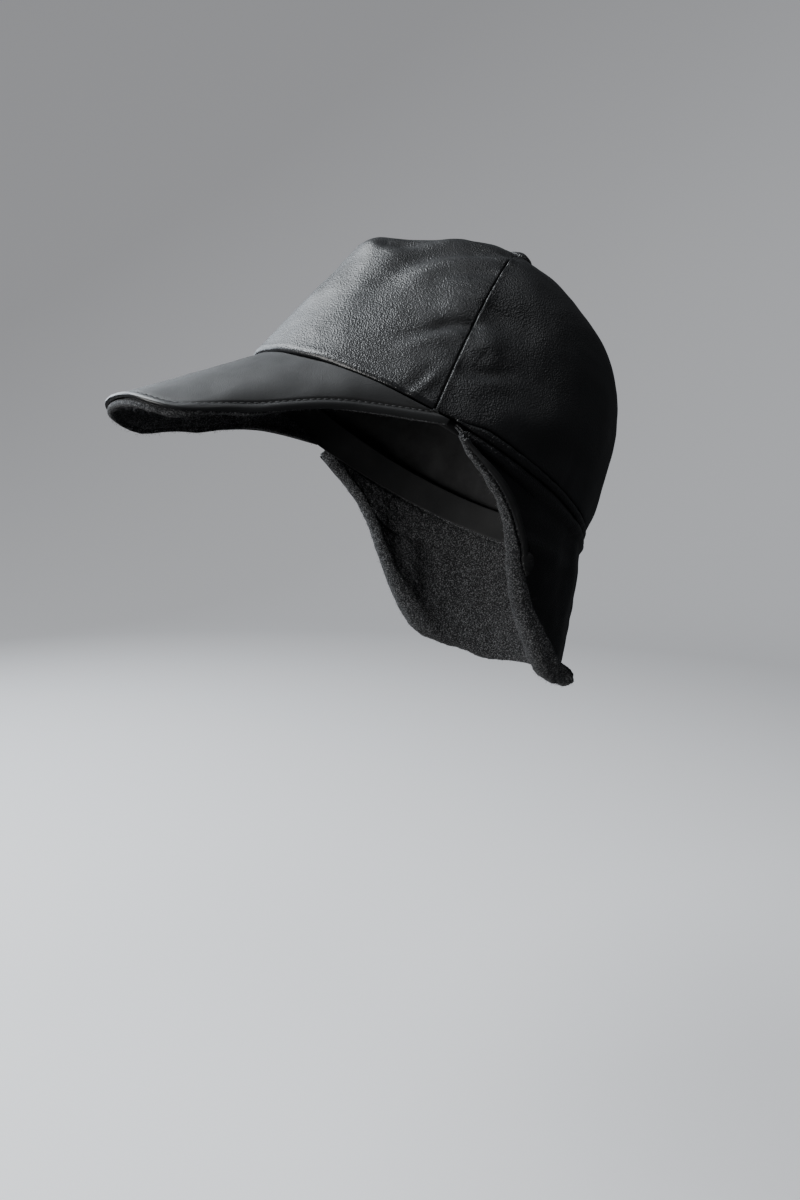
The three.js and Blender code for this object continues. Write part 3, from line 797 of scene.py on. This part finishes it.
def build_fibres(name, skin, outward, density, count, seed):
    """Loose curly fibres, as closed tapered rods rooted in a felt surface."""
    source = np.random.default_rng(seed)
    first = np.linalg.norm(np.gradient(skin, axis=0), axis=-1)
    second = np.linalg.norm(np.gradient(skin, axis=1), axis=-1)
    weight = (density * first * second).ravel()
    chosen = source.choice(weight.size, size=count, p=weight / weight.sum())
    root = skin.reshape(-1, 3)[chosen] + source.normal(size=(count, 3)) * FIBRE_SCATTER
    normal = outward.reshape(-1, 3)[chosen]
    heading = unit(normal * FIBRE["lift"] + source.normal(size=(count, 3)))
    sway = unit(source.normal(size=(count, 3)))
    length = source.uniform(*FIBRE["length"], size=count)
    steps = np.linspace(0, 1, FIBRE["rings"])
    path = [root - normal * FIBRE["rooted"]]
    for k in range(1, len(steps)):
        heading = unit(heading + sway * FIBRE["curl"] * steps[k])
        path.append(path[-1] + heading * (length / (len(steps) - 1))[:, None])
    path = np.stack(path, axis=1)
    tangent = unit(np.gradient(path, axis=1))
    aside = unit(np.cross(tangent, sway[:, None]))
    over = np.cross(tangent, aside)
    turn = ring_turns(3)[:, None]
    thick = FIBRE["radius"] * (1 - FIBRE_TAPER * steps)[None, :, None, None]
    ring = np.cos(turn) * aside[:, :, None] + np.sin(turn) * over[:, :, None]
    vertices = (path[:, :, None] + ring * thick).reshape(-1, 3)
    index = np.arange(len(vertices)).reshape(count, len(steps), 3)
    faces = side_faces(index) + index[:, 0, ::-1].tolist() + index[:, -1].tolist()
    piece = to_object(name, vertices, faces, [FIBRES])
    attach(piece, "root")


STITCH_OUTLINE = {
    "along": (0.0, 0.04, 0.15, 0.5, 0.85, 0.96, 1.0),
    "radius": (0.15, 0.6, 0.92, 1.0, 0.92, 0.6, 0.15),
}
STITCH_END_SPACE = 4.0
STITCH_SIDES = 8


def capsule(start, end, radius):
    """Vertices and faces of a short rounded rod."""
    axis = end - start
    length = np.linalg.norm(axis)
    axis = axis / length
    aside = unit(np.cross(axis, np.array([0.0, 0.0, 1.0])))
    over = np.cross(axis, aside)
    steps = np.array(STITCH_OUTLINE["along"])
    radii = radius * np.array(STITCH_OUTLINE["radius"])
    turn = ring_turns(STITCH_SIDES)
    ring = np.cos(turn)[:, None] * aside + np.sin(turn)[:, None] * over
    vertices = start + (axis * length) * steps[:, None, None] + ring[None] * radii[:, None, None]
    return vertices.reshape(-1, 3), rod_faces(len(steps), STITCH_SIDES)


def build_stitches(top, away):
    """Row of stitches in the groove beside the peak's edge."""
    line = []
    for k in range(len(top)):
        beyond = np.nonzero(away[k] >= STITCH_INSET)[0]
        if len(beyond) == 0 or beyond[-1] + 1 >= len(away[k]):
            continue
        j = beyond[-1]
        t = (away[k, j] - STITCH_INSET) / (away[k, j] - away[k, j + 1])
        line.append(between(top[k, j], top[k, j + 1], t))
    line = np.array(line)
    run = lengths_along(line[:, None], 0)[:, 0]
    starts = np.arange(STITCH_END_SPACE, run[-1] - STITCH_END_SPACE, STITCH_PITCH)
    vertices, faces, count = [], [], 0
    for start in starts:
        first = np.array([np.interp(start, run, line[:, k]) for k in range(3)])
        last = np.array([np.interp(start + STITCH_LENGTH, run, line[:, k]) for k in range(3)])
        points, quads = capsule(first, last, STITCH_RADIUS)
        vertices.append(points)
        faces.extend([[i + count for i in face] for face in quads])
        count += len(points)
    piece = to_object("peak_stitches", np.concatenate(vertices), faces, [THREAD])
    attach(piece, "root")


# Neck flap
FLAP_FELT = 2.2
RIDGE_DOWN = 3.4
RIDGE_REACH = 2.4
RIDGE_TAPER = 14.0
RIDGE_SWELL = 2.2
RIDGE_POLISH = 0.6
FOLD_POLISH = 0.6
FLAP_FOLD = {
    "u": (0.38, 0.47, 0.62, 0.72, 0.76, 0.83),
    "down": (0.22, 0.286, 0.385, 0.5, 0.56, 0.65),
    "rise": (0, 0.8, 1.5, 1.5, 1.0, 0),
    "width": 0.055,
}
FLAP_LINES = {"across": 330, "top": 22, "body": 54, "roll": 58}
FLAP_TOP_SHARE = 0.12
FLAP_SPREAD = 0.85
BULGE_CENTRE = np.array([0.0, 25.0, 0.0])
DRAPE_STRETCH = np.array([1.0, 1.0, 0.35])
# Oval whose outside the roll faces, and how it changes from the rim down to the flap's foot
ROLL_OVAL = {"drop": 117.0, "length": 98.0, "narrower": 26.0, "shorter": 46.0, "back": 40.0}
SMALL_STEP = 1e-3
ROLL_STEPS = 24
CREST_LENGTH = 0.8
CREST_TURN = 0.6
STRIP_THICK = 1.2
STRIP = {"top": 0.998, "bottom": 0.792, "on_felt": 1.1, "beyond": 2.0, "corner": 1.3, "down": 1.6}
FLAP_END_SHARE = 0.35
FLAP_END_TAPER = 9.0
FIBRE_FROM = 0.5
FIBRE_END = 0.972
FIBRE_SPARSE = 0.12
PINCH = {"deep": 1.2, "reach": 0.8, "beside": 0.3, "fade": 0.03}
STRIP_POLISH = 0.8
STRIP_START = 0.07
STRIP_LEAST = 0.45
STRIP_FELT_TAPER = 0.03
TAB = {"length": 0.048, "beyond": 2.8, "on_felt": 1.0, "crumple": 0.34, "thicker": 0.3}
TAB_LOBE = {"stretch": 1.25, "lean": 0.7}


def roll_bend(share, crest):
    """Share of the roll's turn at a share of its length, tighter past its crest."""
    slow = share * CREST_TURN / CREST_LENGTH
    fast = CREST_TURN + (share - CREST_LENGTH) * (1 - CREST_TURN) / (1 - CREST_LENGTH)
    folded = np.minimum(np.where(share < CREST_LENGTH, slow, fast), 1)
    return np.minimum(share, 1) * (1 - crest) + folded * crest


def roll_size(u):
    """Length of the curved part of the roll, its turn and the flat width past it."""
    radius = row_at(FLAP_ROUND, "radius", u)
    turn = np.radians(row_at(FLAP_ROUND, "turn", u))
    flat = np.maximum(row_at(FLAP_ROUND, "flat", u), 0)
    return radius * turn, turn, flat


def flap_points(u, down):
    """Flap from the hem (down 0) to its fold line (1) and round its roll (2)."""
    body = np.clip(down, 0, 1)
    angle = np.where(u < 0, -1, 1) * between(180, FLAP_END_ANGLE, np.abs(u) ** FLAP_SPREAD)
    top = worn(rim(angle, -FLAP_INSET, FLAP_TOP))
    line = line_at(FLAP_ROUND, u)
    outward = unit((top + line) / 2 * LEVEL - BULGE_CENTRE)
    height = np.linalg.norm(line - top, axis=-1)
    bulge = FLAP_BULGE * height * np.sin(math.pi * body)
    points = between(top, line, body[..., None]) + outward * bulge[..., None]
    along = unit(line_at(FLAP_ROUND, u + SMALL_STEP) - line_at(FLAP_ROUND, u - SMALL_STEP))
    low = np.clip(-line[..., 2] / ROLL_OVAL["drop"], 0, 1)
    out_x = line[..., 0] / (HALF_WIDTH - ROLL_OVAL["narrower"] * low) ** 2
    half_length = ROLL_OVAL["length"] - ROLL_OVAL["shorter"] * low
    out_y = (line[..., 1] - ROLL_OVAL["back"] * low) / half_length**2
    out = unit(np.stack([out_x, out_y, out_x * 0], axis=-1))
    out = unit(out - along * np.sum(out * along, axis=-1, keepdims=True))
    away = unit(np.cross(out, along))
    curved, turn, flat = roll_size(u)
    crest = row_at(FLAP_ROUND, "crest", u)
    length = np.maximum(down - 1, 0) * (curved + flat)
    forward = np.zeros_like(length)
    outside = np.zeros_like(length)
    for k in range(ROLL_STEPS):
        bend = turn * roll_bend(length * (k + 0.5) / ROLL_STEPS / curved, crest)
        forward = forward + length / ROLL_STEPS * np.cos(bend)
        outside = outside + length / ROLL_STEPS * np.sin(bend)
    return points + away * forward[..., None] + out * outside[..., None]


def flap_fold(u, down):
    """Height of the soft fold that slants across each side of the flap."""
    across = np.abs(u)
    middle = np.interp(across, FLAP_FOLD["u"], FLAP_FOLD["down"])
    rise = np.interp(across, FLAP_FOLD["u"], FLAP_FOLD["rise"])
    return rise * hump(down - middle, FLAP_FOLD["width"])


def flap_grid():
    """Grid of the flap with its folds, its normals without them and the ridge under the hem."""
    across = eased(FLAP_LINES["across"], 0.004, 5) * 2 - 1
    upper = FLAP_TOP_SHARE * np.linspace(0, 1, FLAP_LINES["top"])[:-1]
    body = np.linspace(FLAP_TOP_SHARE, 1, FLAP_LINES["body"])
    down = np.concatenate([upper, body, 1 + eased(FLAP_LINES["roll"], 0.05, 5)[1:]])
    u, d = np.meshgrid(across, down, indexing="ij")
    points = flap_points(u, d)
    normals = grid_normals(points)
    above_roll = np.clip(1 - d, 0, 1)
    soft = uneven(points * DRAPE_STRETCH, "drape") * np.sin(math.pi * above_roll) + uneven(points, "flap")
    from_front = passage(edge_distance(points, 0), 0, RIDGE_TAPER)
    ridge = from_front * hump(lengths_along(points, 1) - RIDGE_DOWN, RIDGE_REACH)
    soft += RIDGE_SWELL * ridge + flap_fold(u, d)
    return u, d, points + normals * soft[..., None], normals, ridge


def pinched(u, points):
    """How far the binding's inner edge presses into the felt."""
    curved, turn, _ = roll_size(u)
    middle_radius = curved / turn
    along = lengths_along(points, 1)
    on_felt = (along[:, -1:] - along) * (middle_radius + FLAP_FELT + GAP) / middle_radius
    above = passage(np.abs(u), STRIP["bottom"], STRIP["bottom"] + PINCH["fade"])
    groove = hump(on_felt - STRIP["on_felt"] - PINCH["beside"], PINCH["reach"])
    return PINCH["deep"] * above * groove


def build_flap():
    u, down, points, normals, ridge = flap_grid()
    thin = between(FLAP_END_SHARE, 1, passage(edge_distance(points, 0), 0, FLAP_END_TAPER))
    marks = {"polish": np.maximum(RIDGE_POLISH * ridge, FOLD_POLISH * flap_fold(u, down))}
    leather = wall("flap_leather_skin", points, GAP / 2, GAP / 2 + LEATHER * thin, [NAPPA], marks)
    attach(leather, "root")
    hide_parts("flap_leather")
    deep = (FLAP_FELT + uneven(points, "flap_felt") - pinched(u, points)) * thin
    felt = wall("flap_felt", points, -GAP / 2 - deep, -GAP / 2, [FELT])
    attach(felt, "root")
    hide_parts("flap_lining")
    skin = points - normals * (GAP / 2 + deep)[..., None]
    rolled = np.broadcast_to(np.linspace(0, 1, skin.shape[1]) > FIBRE_FROM, thin.shape)
    density = between(FIBRE_SPARSE, 1, rolled) * (np.abs(u) < FIBRE_END)
    build_fibres("flap_fibres", skin, -normals, density, FLAP_FIBRES, seed=82)


def binding_path(run, felt, on_felt, beyond, corner, down):
    """Place on the binding's cross-section: out over the felt, round and down."""
    bow = felt + GAP + STRIP_THICK / 2
    straight = on_felt + beyond - corner
    arc = corner * math.pi / 2
    length = run * (straight + arc + down)
    ahead = np.minimum(length, straight) - on_felt
    bend = np.clip((length - straight) / corner, 0, math.pi / 2)
    drop = np.maximum(length - straight - arc, 0)
    return ahead + corner * np.sin(bend), bow - corner * (1 - np.cos(bend)) - drop


def build_strip(side, name, node):
    """Binding over the cut edge of the roll, with a crumpled tab at its lower end."""
    share = eased(150, 0.03, 6)
    across = eased(30, 0.1, 5)
    s, a = np.meshgrid(share, across, indexing="ij")
    u = between(STRIP["bottom"], STRIP["top"], s)
    in_tab = np.clip((STRIP["bottom"] + TAB["length"] - u) / TAB["length"], 0, 1)
    stretched = np.clip(in_tab * TAB_LOBE["stretch"], 0, 1)
    lobe = np.sqrt(np.clip(np.sin(math.pi * stretched ** TAB_LOBE["lean"]), 0, 1))
    on_felt = STRIP["on_felt"] + TAB["on_felt"] * lobe
    beyond = STRIP["beyond"] + TAB["beyond"] * lobe
    grown = between(STRIP_LEAST, 1, passage(STRIP["top"] - u, 0, STRIP_START))
    felt = FLAP_FELT * between(FLAP_END_SHARE, 1, passage(1 - u, 0, STRIP_FELT_TAPER))
    ahead, over = binding_path(
        a, felt, on_felt * grown, beyond * grown, STRIP["corner"] * grown, STRIP["down"] * grown
    )
    curved, turn, flat = roll_size(u)
    middle_radius = curved / turn
    on_surface = np.minimum(ahead, 0) * middle_radius / (middle_radius + FLAP_FELT + GAP)
    down = 2 + on_surface / (curved + flat)
    points = flap_points(side * u, down)
    before = flap_points(side * (u - SMALL_STEP), down)
    after = flap_points(side * (u + SMALL_STEP), down)
    onward = unit(points - flap_points(side * u, down - SMALL_STEP))
    along = side * unit(after - before)
    outside = unit(np.cross(onward, along))
    points = points + outside * over[..., None] + onward * np.maximum(ahead, 0)[..., None]
    crumple = uneven(points, "binding") + TAB["crumple"] * lobe * uneven(points, "tab")
    points = points + outside * crumple[..., None]
    thick = STRIP_THICK / 2 * (1 + TAB["thicker"] * lobe) * (1 + grown) / 2
    polish = hump(edge_distance(points, 1), STRIP_POLISH)
    piece = wall(name, points, -thick, thick, [SMOOTH], {"polish": polish, "calm": EDGE_CALM * polish})
    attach(piece, "root")
    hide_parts(node)


# Materials
POLISHED = 0.24


def shader_inputs(tree):
    return tree.nodes["Principled BSDF"].inputs


def new_material(name, values):
    """Material with its shader's inputs set, from values by the input's name."""
    material = bpy.data.materials.new(name)
    material.use_nodes = True
    for key, value in values.items():
        shader_inputs(material.node_tree)[key].default_value = value
    return material, material.node_tree


def place(tree):
    return tree.nodes.new("ShaderNodeTexCoord").outputs["Object"]


def noise(tree, scale, detail, roughness=0.55):
    node = tree.nodes.new("ShaderNodeTexNoise")
    node.inputs["Scale"].default_value = scale
    node.inputs["Detail"].default_value = detail
    node.inputs["Roughness"].default_value = roughness
    tree.links.new(place(tree), node.inputs["Vector"])
    return node.outputs["Fac"]


def cells(tree, scale):
    node = tree.nodes.new("ShaderNodeTexVoronoi")
    node.feature = "SMOOTH_F1"
    node.inputs["Scale"].default_value = scale
    tree.links.new(place(tree), node.inputs["Vector"])
    return node.outputs["Distance"]


def ramp(tree, value, stops):
    """Colour or grey by value, through (place, colour) stops."""
    node = tree.nodes.new("ShaderNodeValToRGB")
    elements = node.color_ramp.elements
    while len(elements) < len(stops):
        elements.new(0.5)
    for element, (spot, colour) in zip(elements, stops):
        element.position = spot
        element.color = (*colour, 1)
    tree.links.new(value, node.inputs["Fac"])
    return node.outputs["Color"]


def marked(tree, mark, unmarked, full):
    """Value that goes from unmarked to full where a mark is 1."""
    attribute = tree.nodes.new("ShaderNodeAttribute")
    attribute.attribute_name = mark
    mix = tree.nodes.new("ShaderNodeMix")
    mix.data_type = "FLOAT"
    tree.links.new(attribute.outputs["Fac"], mix.inputs[0])
    if isinstance(unmarked, float):
        mix.inputs[2].default_value = unmarked
    else:
        tree.links.new(unmarked, mix.inputs[2])
    mix.inputs[3].default_value = full
    return mix.outputs[0]


def tint(tree, value, stops):
    """Base colour by value, through (place, colour) stops."""
    tree.links.new(ramp(tree, value, stops), shader_inputs(tree)["Base Color"])


def rub(tree, value, least, most):
    """Roughness by value between two bounds, and lower where the polish mark is."""
    rough = ramp(tree, value, [(0.3, (least,) * 3), (0.7, (most,) * 3)])
    tree.links.new(marked(tree, "polish", rough, POLISHED), shader_inputs(tree)["Roughness"])


def bump(tree, heights):
    """Bump nodes in a row, from (height, distance, strength), weaker where calm."""
    normal = None
    for height, distance, strength in heights:
        node = tree.nodes.new("ShaderNodeBump")
        node.inputs["Distance"].default_value = distance
        tree.links.new(marked(tree, "calm", strength, 0.0), node.inputs["Strength"])
        tree.links.new(height, node.inputs["Height"])
        if normal is not None:
            tree.links.new(normal, node.inputs["Normal"])
        normal = node.outputs["Normal"]
    tree.links.new(normal, shader_inputs(tree)["Normal"])


def make_nappa():
    material, tree = new_material("nappa", {"Specular IOR Level": 0.5})
    tint(tree, noise(tree, 28, 5), [(0.3, (0.010, 0.0105, 0.0115)), (0.7, (0.019, 0.0195, 0.021))])
    rub(tree, noise(tree, 55, 6), 0.37, 0.48)
    grain = cells(tree, 1500)
    fine = noise(tree, 2600, 2)
    soft = noise(tree, 150, 4)
    bump(tree, [(soft, 0.0004, 0.2), (grain, 0.0008, 0.6), (fine, 0.00012, 0.3)])
    return material


def make_smooth():
    material, tree = new_material("smooth_leather", {"Specular IOR Level": 0.38})
    tint(tree, noise(tree, 36, 6), [(0.3, (0.014, 0.0145, 0.0155)), (0.7, (0.026, 0.0265, 0.0275))])
    rub(tree, noise(tree, 80, 7, 0.65), 0.5, 0.64)
    grain = cells(tree, 2300)
    soft = noise(tree, 120, 5)
    bump(tree, [(soft, 0.0004, 0.3), (grain, 0.00015, 0.5)])
    return material


def make_reverse():
    """Flesh side of the leather, as seen inside the crown."""
    material, tree = new_material("leather_reverse", {"Roughness": 0.9})
    tint(tree, noise(tree, 90, 8, 0.65), [(0.3, (0.020, 0.020, 0.021)), (0.7, (0.038, 0.038, 0.040))])
    bump(tree, [(noise(tree, 1800, 4, 0.7), 0.0003, 0.5)])
    return material


FELT_VALUES = {
    "Roughness": 0.95,
    "Sheen Weight": 0.2,
    "Sheen Roughness": 0.5,
    "Sheen Tint": (0.75, 0.77, 0.8, 1),
    "Specular IOR Level": 0.2,
}
FELT_SHADES = [(0.4, (0.008, 0.0084, 0.009)), (0.52, (0.03, 0.0305, 0.033)), (0.61, (0.2, 0.203, 0.21))]


def make_felt():
    material, tree = new_material("wool_felt", FELT_VALUES)
    tint(tree, noise(tree, 1250, 4, 0.7), FELT_SHADES)
    clumps = noise(tree, 420, 6, 0.7)
    hairs = noise(tree, 1700, 4, 0.75)
    bump(tree, [(clumps, 0.0010, 0.6), (hairs, 0.0007, 0.9)])
    return material


def make_fibres():
    material, tree = new_material("loose_fibres", {"Roughness": 0.7})
    tint(tree, noise(tree, 260, 2), [(0.35, (0.03, 0.03, 0.032)), (0.65, (0.16, 0.16, 0.17))])
    return material


def make_thread():
    material, tree = new_material("thread", {"Roughness": 0.6})
    twist = noise(tree, 2500, 3)
    tint(tree, twist, [(0.35, (0.026, 0.026, 0.028)), (0.65, (0.065, 0.065, 0.068))])
    bump(tree, [(twist, 0.0001, 0.5)])
    return material


NAPPA = make_nappa()
SMOOTH = make_smooth()
REVERSE = make_reverse()
FELT = make_felt()
THREAD = make_thread()
FIBRES = make_fibres()

build_panels()
build_seam_tapes()
build_hem()
build_band()
build_button()
build_peak()
build_flap()
build_strip(1, "left_binding", "left_edge_strip")
build_strip(-1, "right_binding", "right_edge_strip")


# Studio
FLOOR_RINGS = (400, 1000, 1500, 1900)
WALL_REACH = 3000
WALL_HEIGHT = 3200
BEND_STEPS = 12
BOWL_SIDES = 96
PAPER_VALUES = {
    "Base Color": (0.62, 0.62, 0.63, 1),
    "Roughness": 0.9,
    "Emission Color": (0.95, 0.96, 1.0, 1),
    "Emission Strength": 0.25,
}


def studio_bowl():
    """Pale floor that curves up into a wall all round."""
    floor_reach = FLOOR_RINGS[-1]
    bend = WALL_REACH - floor_reach
    outline = [(radius, 0) for radius in FLOOR_RINGS]
    for turn in np.linspace(0, math.pi / 2, BEND_STEPS + 1)[1:]:
        outline.append((floor_reach + bend * math.sin(turn), bend * (1 - math.cos(turn))))
    outline.append((WALL_REACH, WALL_HEIGHT))
    turns = ring_turns(BOWL_SIDES)
    vertices = [(r * math.cos(t), r * math.sin(t), height) for r, height in outline for t in turns]
    index = np.arange(len(vertices)).reshape(len(outline), BOWL_SIDES)
    faces = side_faces(index[::-1]) + [index[0].tolist()]
    bowl = to_object("studio", np.array(vertices), faces, [new_material("studio_paper", PAPER_VALUES)[0]])
    bowl.location = (0, 0, FLOOR_LEVEL * MM)
    bowl.visible_glossy = False
    bowl.visible_diffuse = False


# Camera: the photograph's place, tilt and lens
CAMERA_PLACE = Vector((0.35909, -0.19595, -0.0230))
CAMERA_TURN = math.radians(62.5)
CAMERA_PITCH = math.radians(7.3)
CAMERA_ROLL = math.radians(2.09)
LENS_MM = 22.2

RIGHT = Vector((math.cos(CAMERA_TURN), math.sin(CAMERA_TURN), 0))
AHEAD = Vector((-math.sin(CAMERA_TURN), math.cos(CAMERA_TURN), 0))
UP = Vector((0, 0, 1))


def make_camera():
    look = AHEAD * math.cos(CAMERA_PITCH) - UP * math.sin(CAMERA_PITCH)
    over = AHEAD * math.sin(CAMERA_PITCH) + UP * math.cos(CAMERA_PITCH)
    side = RIGHT * math.cos(CAMERA_ROLL) + over * math.sin(CAMERA_ROLL)
    head = over * math.cos(CAMERA_ROLL) - RIGHT * math.sin(CAMERA_ROLL)
    data = bpy.data.cameras.new("camera")
    data.lens = LENS_MM
    data.sensor_width = 36
    data.clip_start = 0.01
    camera = bpy.data.objects.new("camera", data)
    turn = Matrix((side, head, -look)).transposed()
    camera.matrix_world = Matrix.Translation(CAMERA_PLACE) @ turn.to_4x4()
    bpy.context.scene.collection.objects.link(camera)
    bpy.context.scene.camera = camera


# Lights as (name, direction to the camera's right, ahead and up, distance, size, power, colour)
LIGHTS = [
    ("window", (-0.66, -0.06, 0.8), 1.3, (1.0, 1.0), 40, (0.93, 0.97, 1.0)),
    ("fill", (-0.92, -0.62, -0.1), 1.3, (1.0, 0.7), 17, (1.0, 0.99, 0.97)),
    ("upper", (0.35, -0.45, 0.95), 1.4, (0.5, 0.5), 3.2, (0.97, 0.98, 1.0)),
    ("rear_window", (-0.75, 0.5, 0.45), 1.4, (1.1, 1.1), 14, (0.85, 0.92, 1.0)),
]
LIGHT_TARGET = Vector((0, -0.02, 0.03))
AIR_COLOUR = (0.9, 0.94, 1.0, 1)
AIR_STRENGTH = 0.05


def make_lights():
    for name, (right, ahead, up), distance, size, power, colour in LIGHTS:
        data = bpy.data.lights.new(name, "AREA")
        data.shape = "RECTANGLE"
        data.size, data.size_y = size
        data.energy = power
        data.color = colour
        light = bpy.data.objects.new(name, data)
        light.location = (RIGHT * right + AHEAD * ahead + UP * up) * distance
        aim = LIGHT_TARGET - light.location
        light.rotation_euler = aim.to_track_quat("-Z", "Y").to_euler()
        bpy.context.scene.collection.objects.link(light)
    world = bpy.data.worlds.new("studio_air")
    world.use_nodes = True
    sky = world.node_tree.nodes["Background"]
    sky.inputs["Color"].default_value = AIR_COLOUR
    sky.inputs["Strength"].default_value = AIR_STRENGTH
    bpy.context.scene.world = world


studio_bowl()
make_camera()
make_lights()
